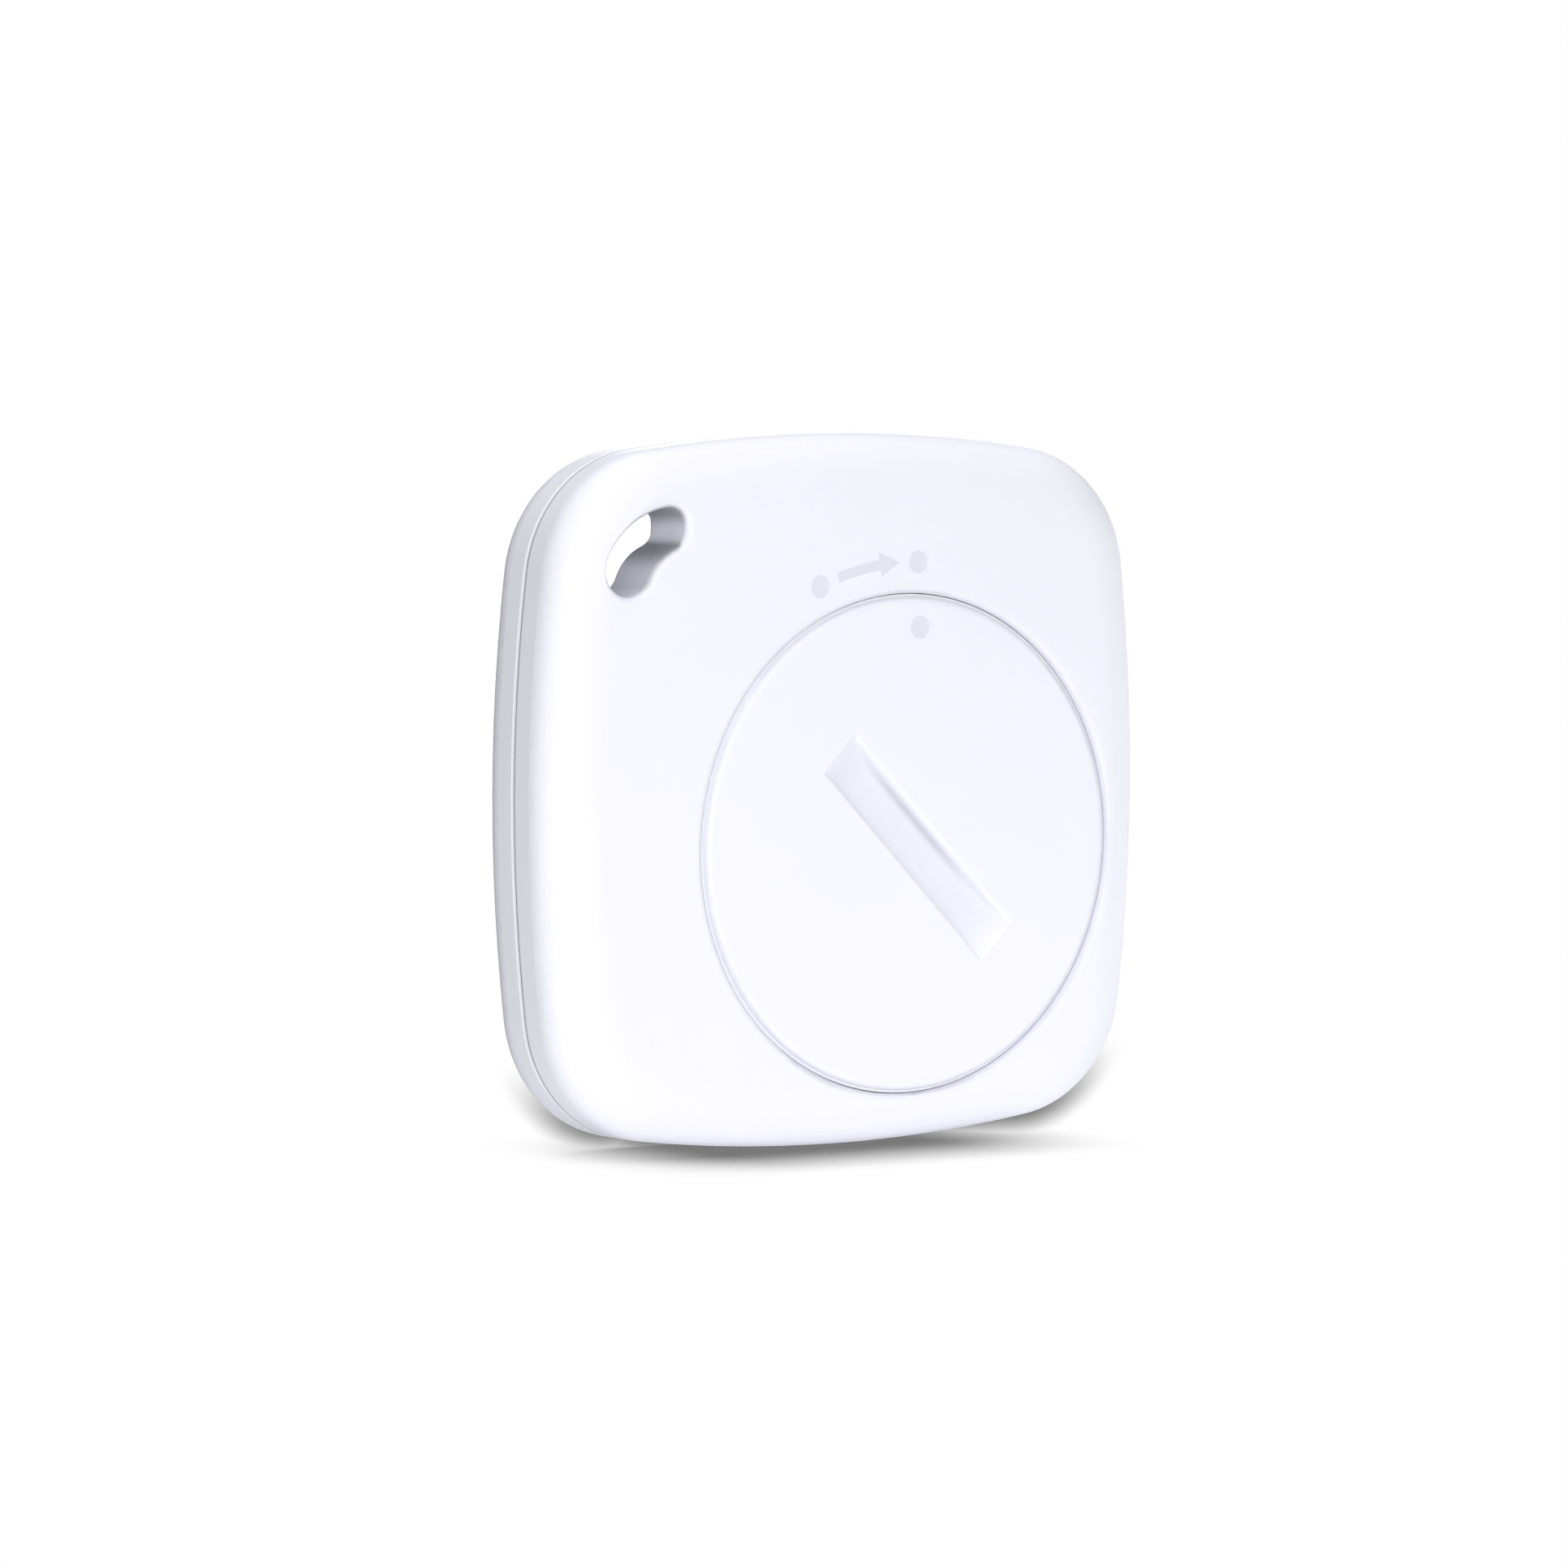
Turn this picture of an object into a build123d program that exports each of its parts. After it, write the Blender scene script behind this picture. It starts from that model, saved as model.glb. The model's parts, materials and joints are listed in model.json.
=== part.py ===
from build123d import *
from math import asin, cos, radians, sin, sqrt
import os

# Key finder with a twist-off battery cover, a key ring hole and a press button.
# Lengths are in millimetres and angles in degrees.
# Every piece is laid out face up, battery cover on top, and stood on its lower edge at the end.
# A depth is measured from the outer face of the battery cover towards the front of the finder.
# Places in the outline are (across, up) from the centre of the body, seen from the cover side.

# Outline of the body
BODY_WIDTH = 41.2
BODY_HEIGHT = 40.0
SIDE_ARC_RADIUS = 100.0
CORNER_RADIUS = 7.65

# Thicknesses from the battery cover to the front face
COVER_THICKNESS = 1.5
CELL_HEADROOM = 0.2
CELL_THICKNESS = 3.2
CONTACT_SPACE = 0.3
BOARD_THICKNESS = 0.6
PIEZO_SPRING_SPACE = 0.36
PIEZO_CERAMIC_THICKNESS = 0.12
PIEZO_PLATE_THICKNESS = 0.12
PIEZO_ADHESIVE_THICKNESS = 0.1
FRONT_FACE_WALL = 0.9

# Shells
REAR_SHELL_DEPTH = 3.9
REAR_FACE_WALL = 1.2
SIDE_WALL = 1.3
REAR_BEVEL_REACH = 2.0
REAR_BEVEL_DEPTH = 1.56
REAR_BEVEL_WALL_ROUND = 1.7
REAR_BEVEL_FACE_ROUND = 4.0
REAR_INNER_BEVEL = 1.0
FRONT_EDGE_ROUND = 2.0
FRONT_INNER_BEVEL = 0.6
PARTING_GAP = 0.1
PARTING_GAP_DEPTH = 0.35
PARTING_BEVEL_REAR = 0.05
PARTING_BEVEL_FRONT = 0.15
TONGUE_THICKNESS = 0.55
TONGUE_HEIGHT = 0.7
LAP_CLEARANCE = 0.05

# Battery cover and its seat, from the cell outwards to the right and lower edges
CELL_SKIRT_GAP = 1.4
SKIRT_WALL = 1.2
SKIRT_SEAL_GAP = 0.65
SEAL_SECTION = 0.4
SEAL_EDGE = 0.25
COVER_GAP = 0.2
RIM_RIGHT = 3.0
RIM_BOTTOM = 2.8
LIP_ROUND = 0.35
RING_WALL = 1.0
SKIRT_CLEARANCE = 0.2
LEDGE_GAP = 0.4
LEDGE_THICKNESS = 0.8
LUG_COUNT = 3
LUG_FIRST_ANGLE = 30.0
LUG_ARC = 18.0
LUG_REACH = 1.0
LUG_THICKNESS = 0.7
LUG_CLEARANCE = 0.05
NOTCH_REACH_CLEARANCE = 0.15
NOTCH_SIDE_CLEARANCE = 1.0
COVER_TURN = 25.0
STOP_ARC = 4.0
STOP_REACH = 0.9
STOP_CLEARANCE = 1.5
COVER_RIB_COUNT = 6
COVER_RIB_WIDTH = 0.8
COVER_RIB_START = 2.5
COVER_RIB_LENGTH = 5.5
COVER_RIB_GAP = 0.05

# Coin slot across the cover
SLOT_TILT = -45.0
SLOT_ACROSS = 0.65
SLOT_UP = -0.25
SLOT_LENGTH = 15.6
SLOT_WIDTH = 2.7
SLOT_DEPTH = 0.78
SLOT_END_RAMP = 3.0
SLOT_RIM_ROUND = 0.3
SLOT_WALL_LEAN = 0.15

# Groove for the sealing ring under the cover
SEAL_GROOVE_DEPTH = 0.08
SEAL_CLEARANCE = 0.02

# Marks moulded into the rear face: a dot to close at, a dot to open at and an arrow between them
MARK_DEPTH = 0.08
MARK_OFFSET = 1.76
CLOSED_MARK_ANGLE = 88.1
MARK_DOT_RADIUS = 0.65
ARROW_END_GAP = 4.6
ARROW_SHAFT_WIDTH = 0.56
ARROW_SHAFT_ARC = 10.7
ARROW_HEAD_ARC = 5.0
ARROW_HEAD_WIDTH = 1.4
COVER_DOT_ANGLE = 86.8
COVER_DOT_EDGE = 1.7

# Key ring hole in the upper left corner, laid out along the corner's diagonal
HOLE_TILT = 45.0
HOLE_LOW_RADIUS = 1.49
HOLE_LOW_ACROSS = -1.53
HOLE_LOW_RIM = 3.08
HOLE_HIGH_RADIUS = 1.14
HOLE_HIGH_ACROSS = 1.92
HOLE_HIGH_RIM = 3.76
HOLE_CROWN_RADIUS = 5.1
HOLE_WAIST_RADIUS = 3.06
HOLE_RIM_ROUND = 0.45
HOLE_COLLAR_WALL = 1.1
HOLE_COLLAR_GAP = 0.1
HOLE_COLLAR_BEVEL = 0.25
HOLE_STEP = 0.35
MOUTH_LENGTH = 10.6
MOUTH_WIDTH = 6.4
MOUTH_RIM = 2.6
MOUTH_ROUND = 0.4

# Coin cell
CELL_RADIUS = 10.0
CELL_CAP_RADIUS = 8.9
CELL_CAP_DEPTH = 0.7
CELL_CAP_STAND = 0.3
CELL_CAP_BEVEL = 0.2
CELL_GASKET_WALL = 0.45
CELL_GASKET_STAND = 0.05
CELL_EDGE_BEVEL = 0.2
CELL_FIT = 0.03

# Cradle that centres the cell on the board
CRADLE_CLEARANCE = 0.15
CRADLE_WALL = 1.05
CRADLE_HEIGHT = 1.4
CRADLE_SLOT_CLEARANCE = 0.3

# Battery contacts of sheet metal
CONTACT_SHEET = 0.15
CONTACT_WIDTH = 2.5
CONTACT_GAP = 0.05
CONTACT_LEAF_HEIGHT = 1.5
CONTACT_LEAD_HEIGHT = 0.35
CONTACT_LEAD_REACH = 0.2
CONTACT_FOOT_REACH = 2.6
CONTACT_SIDE_ANGLE = 180.0
CONTACT_TOP_ANGLE = 100.0
FINGER_COUNT = 3
FINGER_SHEET = 0.12
FINGER_WIDTH = 1.4
FINGER_HUB_RADIUS = 2.2
FINGER_REACH = 6.5
FINGER_TIP_LENGTH = 0.5
FINGER_GAP = 0.03

# Circuit board and the stakes that hold it
BOARD_INSET = 2.2
BOARD_MOUTH_GAP = 0.2
STAKE_EDGE_ACROSS = 5.1
STAKE_EDGE_UP = 5.5
STAKE_SIDE_UP = 3.0
STAKE_PIN_RADIUS = 0.55
STAKE_CLEARANCE = 0.05
STAKE_PIN_STAND = 0.2
STAKE_BOSS_RADIUS = 1.2
POST_RADIUS = 1.3
POST_GAP = 0.05
POST_PIN_CLEARANCE = 0.2
POST_SOCKET_DEPTH = 0.6

# Parts on the cover side of the board: sizes are (across, up, height)
CHIP_SIZE = (5.0, 5.0, 0.85)
CHIP_INDEX = 0.4
CHIP_CONTACT_GAP = 0.4
CHIP_UP = -0.6
MAIN_CRYSTAL_SIZE = (2.0, 1.6, 0.5)
MAIN_CRYSTAL_EDGE = (8.6, 9.5)
CLOCK_CRYSTAL_SIZE = (1.5, 3.2, 0.8)
CLOCK_CRYSTAL_EDGE = (4.2, 11.0)
CRYSTAL_ROUND = 0.3
ANTENNA_SIZE = (5.0, 2.0, 0.9)
ANTENNA_ACROSS = 2.5
ANTENNA_EDGE = 3.5
ANTENNA_TERMINAL = 0.4
INDUCTOR_SIZE = (2.5, 2.0, 1.0)
INDUCTOR_EDGE = (12.6, 7.5)
INDUCTOR_FLANGE = 0.25
INDUCTOR_WAIST = 0.3
TRANSISTOR_SIZE = (2.9, 1.3, 0.9)
TRANSISTOR_EDGE = (8.1, 7.9)
LEAD_WIDTH = 0.4
LEAD_SHEET = 0.15
LEAD_REACH = 0.45
LEAD_PITCH = 0.95
SMALL_PITCH = 1.3
CAPACITOR_COUNT = 4
CAPACITOR_SIZE = (0.5, 1.0, 0.5)
CAPACITOR_EDGE = (8.6, 5.5)
RESISTOR_COUNT = 3
RESISTOR_SIZE = (0.5, 1.0, 0.35)
RESISTOR_EDGE = (11.6, 4.4)
PAD_COUNT = 4
PAD_RADIUS = 0.5
PAD_THICKNESS = 0.05
PAD_PITCH = 1.5
PAD_ACROSS = -6.0
PAD_EDGE = 7.4

# Button, its switch and the status light on the front side
BUTTON_RADIUS = 4.6
BUTTON_GAP = 0.15
BUTTON_RECESS = 0.05
BUTTON_EDGE_ROUND = 0.25
BUTTON_DISH_DEPTH = 0.12
BUTTON_TRAVEL = 0.2
FLANGE_WIDTH = 0.6
FLANGE_THICKNESS = 0.3
FLANGE_GAP = 0.05
BUTTON_POCKET_CLEARANCE = 0.3
BUTTON_ROOF = 0.75
SWITCH_WIDTH = 3.2
SWITCH_HEIGHT = 0.3
SWITCH_CORNER = 0.5
PLUNGER_RADIUS = 0.8
PLUNGER_CLEARANCE = 0.1
PLUNGER_STOP = 0.03
PLUNGER_SINK = 0.05
PLUNGER_GAP = 0.02
BUTTON_BOSS_RADIUS = 0.9
LED_SIZE = (1.6, 0.8, 0.35)
LED_UP = 9.5
LED_LENS_BEVEL = 0.15
PIPE_RADIUS = 0.75
PIPE_FIT = 0.03
PIPE_RECESS = 0.02
PIPE_FLANGE_WIDTH = 0.4
PIPE_FLANGE_THICKNESS = 0.2

# Sounder glued inside the front face
PIEZO_EDGE = (10.7, 10.1)
PIEZO_PLATE_RADIUS = 6.5
PIEZO_CERAMIC_RADIUS = 4.5
PIEZO_ADHESIVE_WIDTH = 1.2
SPRING_SHEET = 0.1
SPRING_WIDTH = 1.2
SPRING_BASE = 1.6
SPRING_RISE = 1.2
SPRING_TIP = 0.5
SPRING_GAP = 0.03
SPRING_INNER_UP = 1.5
SPRING_OUTER_REACH = 5.5

# Depths that follow from the thicknesses
FRONT_SPACE = (
    PIEZO_SPRING_SPACE + PIEZO_CERAMIC_THICKNESS + PIEZO_PLATE_THICKNESS + PIEZO_ADHESIVE_THICKNESS
)
CELL_START = COVER_THICKNESS + CELL_HEADROOM
CELL_END = CELL_START + CELL_THICKNESS
BOARD_REAR = CELL_END + CONTACT_SPACE
BOARD_FRONT = BOARD_REAR + BOARD_THICKNESS
FRONT_INNER = BOARD_FRONT + FRONT_SPACE
BODY_THICKNESS = FRONT_INNER + FRONT_FACE_WALL
LEDGE_START = COVER_THICKNESS + LEDGE_GAP
LEDGE_END = LEDGE_START + LEDGE_THICKNESS
LUG_START = LEDGE_END + LUG_CLEARANCE
LUG_END = LUG_START + LUG_THICKNESS
COLLAR_END = REAR_SHELL_DEPTH - HOLE_COLLAR_GAP

# Radii and places that follow from the sizes above
SKIRT_RADIUS = CELL_RADIUS + CELL_SKIRT_GAP + SKIRT_WALL
SEAL_INNER = SKIRT_RADIUS + SKIRT_SEAL_GAP
SEAL_OUTER = SEAL_INNER + SEAL_SECTION
COVER_RADIUS = SEAL_OUTER + SEAL_EDGE
OPENING_RADIUS = COVER_RADIUS + COVER_GAP
RING_RADIUS = OPENING_RADIUS + RING_WALL
LUG_RADIUS = SKIRT_RADIUS + LUG_REACH
MARK_RADIUS = OPENING_RADIUS + MARK_OFFSET
COVER_PLACE = (
    BODY_WIDTH / 2 - OPENING_RADIUS - RIM_RIGHT,
    RIM_BOTTOM + OPENING_RADIUS - BODY_HEIGHT / 2,
)
CONTACT_RADIUS = CELL_RADIUS + CONTACT_GAP
CHIP_PLACE = (
    COVER_PLACE[0] - CONTACT_RADIUS - CONTACT_FOOT_REACH - CHIP_CONTACT_GAP - CHIP_SIZE[0] / 2,
    COVER_PLACE[1] + CHIP_UP,
)
PIEZO_PLACE = (BODY_WIDTH / 2 - PIEZO_EDGE[0], PIEZO_EDGE[1] - BODY_HEIGHT / 2)
STAKE_PLACES = (
    (STAKE_EDGE_ACROSS - BODY_WIDTH / 2, STAKE_EDGE_UP - BODY_HEIGHT / 2),
    (STAKE_EDGE_ACROSS - BODY_WIDTH / 2, STAKE_SIDE_UP),
    (BODY_WIDTH / 2 - STAKE_EDGE_ACROSS, BODY_HEIGHT / 2 - STAKE_EDGE_UP),
)

# How far one solid reaches into another that it is joined to, and how near counts as touching
WELD = 0.3
NEAR = 0.001


def polar(radius, angle):
    """Point at a radius and an angle."""
    return (radius * cos(radians(angle)), radius * sin(radians(angle)))


def slab(face, start, end):
    """Solid with the outline of a face, between two depths."""
    return Pos(0, 0, -end) * extrude(face, amount=end - start, dir=(0, 0, 1))


def disc(radius, start, end):
    """Round plate between two depths."""
    return slab(Circle(radius), start, end)


def ring(inner, outer, start, end):
    """Round wall between two radii and two depths."""
    return slab(Circle(outer) - Circle(inner), start, end)


def sector(inner, outer, middle, width):
    """Face between two radii, centred on an angle and as many degrees wide as width."""
    first = middle - width / 2
    last = middle + width / 2
    return make_face([
        ThreePointArc(polar(inner, first), polar(inner, middle), polar(inner, last)),
        Line(polar(inner, last), polar(outer, last)),
        ThreePointArc(polar(outer, last), polar(outer, middle), polar(outer, first)),
        Line(polar(outer, first), polar(inner, first)),
    ])


def block(size, place, board_face, side):
    """Box of a board part that stands on one face of the board, towards one side."""
    across, up, height = size
    start, end = sorted((board_face, board_face + side * height))
    return Pos(*place) * slab(Rectangle(across, up), start, end)


def ribbon(points, thickness, width):
    """Bent strip of sheet metal; points of (reach, depth) run along the middle of the sheet."""
    path = [Vector(reach, 0, -depth) for reach, depth in points]
    near_side = []
    far_side = []
    for index, point in enumerate(path):
        before = path[index] - path[index - 1] if index else path[1] - path[0]
        after = path[index + 1] - point if index + 1 < len(path) else before
        along = before.normalized() + after.normalized()
        square = Vector(-along.Z, 0, along.X).normalized()
        first_square = Vector(-before.Z, 0, before.X).normalized()
        step = square * (thickness / 2 / square.dot(first_square))
        near_side.append(point + step)
        far_side.append(point - step)
    outline = Polyline(*near_side, *reversed(far_side), close=True)
    return extrude(make_face(outline), amount=width / 2, dir=(0, 1, 0), both=True)


def edges_at(solid, depth, middle=(0, 0), reach=BODY_WIDTH):
    """Edges that lie flat at one depth, with their middle within reach of a point."""
    found = []
    for edge in solid.edges():
        box = edge.bounding_box()
        flat = abs(box.min.Z + depth) < NEAR and abs(box.max.Z + depth) < NEAR
        away = box.center() - Vector(*middle, -depth)
        if flat and away.length < reach:
            found.append(edge)
    return found


def corner_centre():
    """Centre of the upper right corner arc, which touches the side arc and the top arc."""
    side = Vector(BODY_WIDTH / 2 - SIDE_ARC_RADIUS, 0)
    top = Vector(0, BODY_HEIGHT / 2 - SIDE_ARC_RADIUS)
    span = top - side
    reach = SIDE_ARC_RADIUS - CORNER_RADIUS
    outward = Vector(-span.Y, span.X).normalized()
    return (side + top) * 0.5 + outward * sqrt(reach**2 - (span.length / 2) ** 2)


def body_outline(inset=0.0):
    """Face of the body outline: four long side arcs joined by four tangent corner arcs."""
    corner = corner_centre()
    side = Vector(BODY_WIDTH / 2 - SIDE_ARC_RADIUS, 0)
    top = Vector(0, BODY_HEIGHT / 2 - SIDE_ARC_RADIUS)
    low = side + (corner - side).normalized() * (SIDE_ARC_RADIUS - inset)
    high = top + (corner - top).normalized() * (SIDE_ARC_RADIUS - inset)
    bend = corner + (low + high - corner * 2).normalized() * (CORNER_RADIUS - inset)
    half_width = BODY_WIDTH / 2 - inset
    half_height = BODY_HEIGHT / 2 - inset
    arcs = []
    for a in (1, -1):
        arcs.append(ThreePointArc((a * low.X, -low.Y), (a * half_width, 0), (a * low.X, low.Y)))
        arcs.append(ThreePointArc((-high.X, a * high.Y), (0, a * half_height), (high.X, a * high.Y)))
        for b in (1, -1):
            ends = (a * low.X, b * low.Y), (a * bend.X, b * bend.Y), (a * high.X, b * high.Y)
            arcs.append(ThreePointArc(*ends))
    return make_face(arcs)


def hole_frame():
    """Place of the key ring hole: the centre of the upper left corner, turned along its diagonal."""
    corner = corner_centre()
    return Pos(-corner.X, corner.Y) * Rot(0, 0, HOLE_TILT)


def hole_ends():
    """Centres of the low and the high round end of the key ring hole, in its frame."""
    low = Vector(HOLE_LOW_ACROSS, CORNER_RADIUS - HOLE_LOW_RIM - HOLE_LOW_RADIUS)
    high = Vector(HOLE_HIGH_ACROSS, CORNER_RADIUS - HOLE_HIGH_RIM - HOLE_HIGH_RADIUS)
    return low, high


def point_below(first, first_reach, second, second_reach):
    """Point at two given reaches from two points, below the line between them."""
    span = second - first
    along = (first_reach**2 - second_reach**2 + span.length**2) / (2 * span.length)
    down = Vector(span.Y, -span.X).normalized()
    return first + span.normalized() * along + down * sqrt(first_reach**2 - along**2)


def bean(grow=0.0):
    """Shape of the key ring hole in its frame: two round ends, a crown arc and a waist arc."""
    low, high = hole_ends()
    crown = point_below(
        low, HOLE_CROWN_RADIUS - HOLE_LOW_RADIUS, high, HOLE_CROWN_RADIUS - HOLE_HIGH_RADIUS
    )
    waist = point_below(
        low, HOLE_WAIST_RADIUS + HOLE_LOW_RADIUS, high, HOLE_WAIST_RADIUS + HOLE_HIGH_RADIUS
    )
    arcs = []
    joints = []
    for end, radius, side in ((low, HOLE_LOW_RADIUS, -1), (high, HOLE_HIGH_RADIUS, 1)):
        upward = (end - crown).normalized()
        downward = (waist - end).normalized()
        outward = upward + downward
        tip = Vector(side * abs(outward.X), outward.Y).normalized()
        points = [end + way * (radius + grow) for way in (upward, tip, downward)]
        arcs.append(ThreePointArc(*points))
        joints.append((points[0], points[2]))
    middle_up = (low + high) * 0.5 - crown
    middle_down = (low + high) * 0.5 - waist
    top = crown + middle_up.normalized() * (HOLE_CROWN_RADIUS + grow)
    dip = waist + middle_down.normalized() * (HOLE_WAIST_RADIUS - grow)
    arcs.append(ThreePointArc(joints[0][0], top, joints[1][0]))
    arcs.append(ThreePointArc(joints[0][1], dip, joints[1][1]))
    return make_face(arcs)


def hole_outline(grow=0.0):
    """Face of the key ring hole at its place in the body."""
    return hole_frame() * bean(grow)


def mouth_middle():
    """Place of the flared mouth's middle in the frame of the key ring hole."""
    low, high = hole_ends()
    return Pos((low.X + high.X) / 2, CORNER_RADIUS - MOUTH_RIM - MOUTH_WIDTH / 2)


def mouth_solid(grow, start, end):
    """Flared hole through the front shell, grown by a wall and cut to two depths."""
    box = bean(HOLE_STEP + grow).bounding_box()
    throat = Pos(box.center().X, box.center().Y) * SlotOverall(box.size.X, box.size.Y)
    mouth = mouth_middle() * SlotOverall(MOUTH_LENGTH + 2 * grow, MOUTH_WIDTH + 2 * grow)
    sections = [Pos(0, 0, -REAR_SHELL_DEPTH) * throat, Pos(0, 0, -BODY_THICKNESS) * mouth]
    flare = hole_frame() * loft(sections, ruled=True)
    return flare & slab(body_outline(-WELD), start, end)


def rear_blank():
    """Rear half of the body with its broad soft edge, made of a bevel and two rounds."""
    blank = slab(body_outline(), 0, REAR_SHELL_DEPTH)
    blank = chamfer(edges_at(blank, REAR_SHELL_DEPTH), PARTING_BEVEL_REAR)
    face = blank.faces().sort_by(Axis.Z)[-1]
    blank = chamfer(edges_at(blank, 0), REAR_BEVEL_REACH, REAR_BEVEL_DEPTH, reference=face)
    blank = fillet(edges_at(blank, REAR_BEVEL_DEPTH), REAR_BEVEL_WALL_ROUND)
    return fillet(edges_at(blank, 0), REAR_BEVEL_FACE_ROUND)


def stakes(radius, start, end):
    """Upright rods of one radius where the board is held."""
    rods = Part()
    for place in STAKE_PLACES:
        rods += Pos(*place) * disc(radius, start, end)
    return rods


def marks():
    """Face of the dots and the curved arrow beside the cover, round the cover's centre."""
    open_angle = CLOSED_MARK_ANGLE + COVER_TURN
    tip_angle = CLOSED_MARK_ANGLE + ARROW_END_GAP
    neck_angle = tip_angle + ARROW_HEAD_ARC
    half_shaft = ARROW_SHAFT_WIDTH / 2
    half_head = ARROW_HEAD_WIDTH / 2
    shaft_middle = neck_angle + ARROW_SHAFT_ARC / 2
    shaft = sector(MARK_RADIUS - half_shaft, MARK_RADIUS + half_shaft, shaft_middle, ARROW_SHAFT_ARC)
    head = make_face(Polyline(
        polar(MARK_RADIUS - half_head, neck_angle),
        polar(MARK_RADIUS, tip_angle),
        polar(MARK_RADIUS + half_head, neck_angle),
        close=True,
    ))
    dot = Circle(MARK_DOT_RADIUS)
    closed_dot = Pos(*polar(MARK_RADIUS, CLOSED_MARK_ANGLE)) * dot
    open_dot = Pos(*polar(MARK_RADIUS, open_angle)) * dot
    return [shaft, head, closed_dot, open_dot]


def lug_angles():
    """Angles of the cover's lugs when it is closed."""
    return [LUG_FIRST_ANGLE + 360 / LUG_COUNT * index for index in range(LUG_COUNT)]


def cover_seat():
    """Ledge that the cover's lugs turn under, its entry notches and the stops of the lugs."""
    ledge = ring(SKIRT_RADIUS + SKIRT_CLEARANCE, OPENING_RADIUS + WELD, LEDGE_START, LEDGE_END)
    notch_radius = LUG_RADIUS + NOTCH_REACH_CLEARANCE
    notch_arc = LUG_ARC + 2 * NOTCH_SIDE_CLEARANCE
    stop_turn = (LUG_ARC + STOP_ARC) / 2 + STOP_CLEARANCE
    for angle in lug_angles():
        notch = sector(SKIRT_RADIUS, notch_radius, angle + COVER_TURN, notch_arc)
        ledge -= slab(notch, LEDGE_START, LEDGE_END)
    for angle in lug_angles():
        for stop_angle in (angle - stop_turn, angle + COVER_TURN + stop_turn):
            stop = sector(OPENING_RADIUS - STOP_REACH, OPENING_RADIUS + WELD, stop_angle, STOP_ARC)
            ledge += slab(stop, LEDGE_END - WELD, LUG_END)
    return Pos(*COVER_PLACE) * ledge


def rear_shell():
    """Shell with the face that the battery cover closes, its seat, hole collar and board posts."""
    shell = rear_blank()
    cavity = slab(body_outline(SIDE_WALL), REAR_FACE_WALL, REAR_SHELL_DEPTH)
    cavity = chamfer(edges_at(cavity, REAR_FACE_WALL), REAR_INNER_BEVEL)
    lap_inset = SIDE_WALL - TONGUE_THICKNESS - LAP_CLEARANCE
    lap_start = REAR_SHELL_DEPTH - TONGUE_HEIGHT - LAP_CLEARANCE
    shell -= cavity
    shell -= slab(body_outline(lap_inset), lap_start, REAR_SHELL_DEPTH)
    ring_end = LUG_END + LUG_CLEARANCE
    post_end = BOARD_REAR - POST_GAP
    inner_start = REAR_FACE_WALL / 2
    shell += Pos(*COVER_PLACE) * disc(RING_RADIUS, inner_start, ring_end)
    shell += slab(hole_outline(HOLE_COLLAR_WALL), inner_start, COLLAR_END)
    shell += stakes(POST_RADIUS, inner_start, post_end)
    shell -= stakes(STAKE_PIN_RADIUS + POST_PIN_CLEARANCE, post_end - POST_SOCKET_DEPTH, post_end)
    plate = slab(body_outline(-WELD), 0, post_end)
    plate -= Pos(*COVER_PLACE) * disc(OPENING_RADIUS, 0, post_end)
    plate -= slab(hole_outline(), 0, post_end)
    middle = hole_outline().center()
    place = (middle.X, middle.Y)
    reach = (hole_ends()[1] - hole_ends()[0]).length
    plate = fillet(edges_at(plate, 0, COVER_PLACE, WELD), LIP_ROUND)
    plate = fillet(edges_at(plate, 0, place, reach), HOLE_RIM_ROUND)
    shell &= plate
    shell = chamfer(edges_at(shell, COLLAR_END, place, reach), HOLE_COLLAR_BEVEL)
    shell += cover_seat()
    for mark in marks():
        shell -= Pos(*COVER_PLACE) * slab(mark, 0, MARK_DEPTH)
    return shell


def front_shell():
    """Shell with the button hole, the light pipe hole, the flared mouth and the board bosses."""
    edge = REAR_SHELL_DEPTH + PARTING_GAP
    shell = slab(body_outline(), edge, BODY_THICKNESS)
    shell = chamfer(edges_at(shell, edge), PARTING_BEVEL_FRONT)
    shell = fillet(edges_at(shell, BODY_THICKNESS), FRONT_EDGE_ROUND)
    shell += slab(body_outline(PARTING_GAP_DEPTH), REAR_SHELL_DEPTH, edge + WELD)
    cavity = slab(body_outline(SIDE_WALL), REAR_SHELL_DEPTH, FRONT_INNER)
    cavity = chamfer(edges_at(cavity, FRONT_INNER), FRONT_INNER_BEVEL)
    shell -= cavity
    tongue = body_outline(SIDE_WALL - TONGUE_THICKNESS) - body_outline(SIDE_WALL)
    shell += slab(tongue, REAR_SHELL_DEPTH - TONGUE_HEIGHT, REAR_SHELL_DEPTH + WELD)
    shell += mouth_solid(HOLE_COLLAR_WALL, REAR_SHELL_DEPTH, FRONT_INNER + WELD)
    shell += stakes(STAKE_BOSS_RADIUS, BOARD_FRONT, FRONT_INNER + WELD)
    shell += stakes(STAKE_PIN_RADIUS, BOARD_REAR - STAKE_PIN_STAND, BOARD_FRONT + WELD)
    plate = slab(body_outline(-WELD), 0, BODY_THICKNESS)
    plate -= mouth_solid(0, REAR_SHELL_DEPTH, BODY_THICKNESS)
    mouth_place = (hole_frame() * mouth_middle()).position
    mouth_edges = edges_at(plate, BODY_THICKNESS, (mouth_place.X, mouth_place.Y), MOUTH_LENGTH / 2)
    plate = fillet(mouth_edges, MOUTH_ROUND)
    shell &= plate
    shell -= disc(BUTTON_RADIUS + BUTTON_GAP, FRONT_INNER, BODY_THICKNESS)
    shell -= Pos(0, LED_UP) * disc(PIPE_RADIUS + PIPE_FIT, FRONT_INNER, BODY_THICKNESS)
    return shell


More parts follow.
